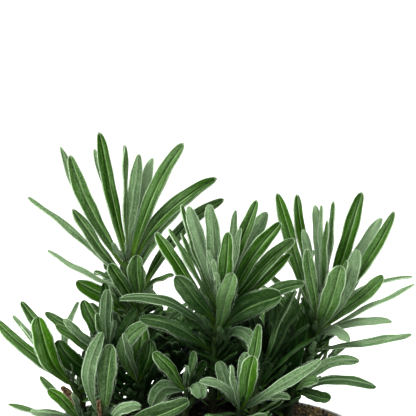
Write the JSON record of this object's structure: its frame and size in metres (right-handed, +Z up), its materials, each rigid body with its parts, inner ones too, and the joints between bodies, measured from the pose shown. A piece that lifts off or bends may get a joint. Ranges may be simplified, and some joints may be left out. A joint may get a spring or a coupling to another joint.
{
  "type": "potted english lavender",
  "caption": "Young English lavender in a plain tapered round nursery pot: upright stems with narrow grey-green felted leaves, rooted in a low dome of potting soil.",
  "frame": {"origin": "middle of the pot's foot, on the surface that the pot stands on", "axes": "+Z up along the pot's axis, -Y towards the viewer of the picture, +X to the right in the picture"},
  "size_m": [0.1689, 0.16, 0.2241],
  "materials": {
    "pot_plastic": "off-white injection-moulded plastic, satin with faint vertical streaks",
    "potting_soil": "rough crumbly peat with bark bits and golden-brown grains",
    "foliage": "deep green above with a fine pale felt on the margins and undersides"
  },
  "bodies": {
    "root": {"pot": "pot_plastic", "soil": "potting_soil", "stem_back_left": "foliage", "stem_back_middle": "foliage", "stem_back_right": "foliage", "stem_centre": "foliage", "stem_far_middle": "foliage", "stem_far_right": "foliage", "stem_front": "foliage", "stem_front_edge": "foliage", "stem_front_inner": "foliage", "stem_front_left": "foliage", "stem_front_right": "foliage", "stem_hood": "foliage", "stem_inner_back": "foliage", "stem_inner_front": "foliage", "stem_inner_left": "foliage", "stem_inner_middle": "foliage", "stem_inner_right": "foliage", "stem_left_back": "foliage", "stem_left_inner": "foliage", "stem_left_spray": "foliage", "stem_low_front": "foliage", "stem_low_left": "foliage", "stem_mid_left": "foliage", "stem_right": "foliage", "stem_right_low": "foliage", "stem_side_left": "foliage", "stem_side_right": "foliage", "stem_tall_left": "foliage"}
  },
  "joints": []
}
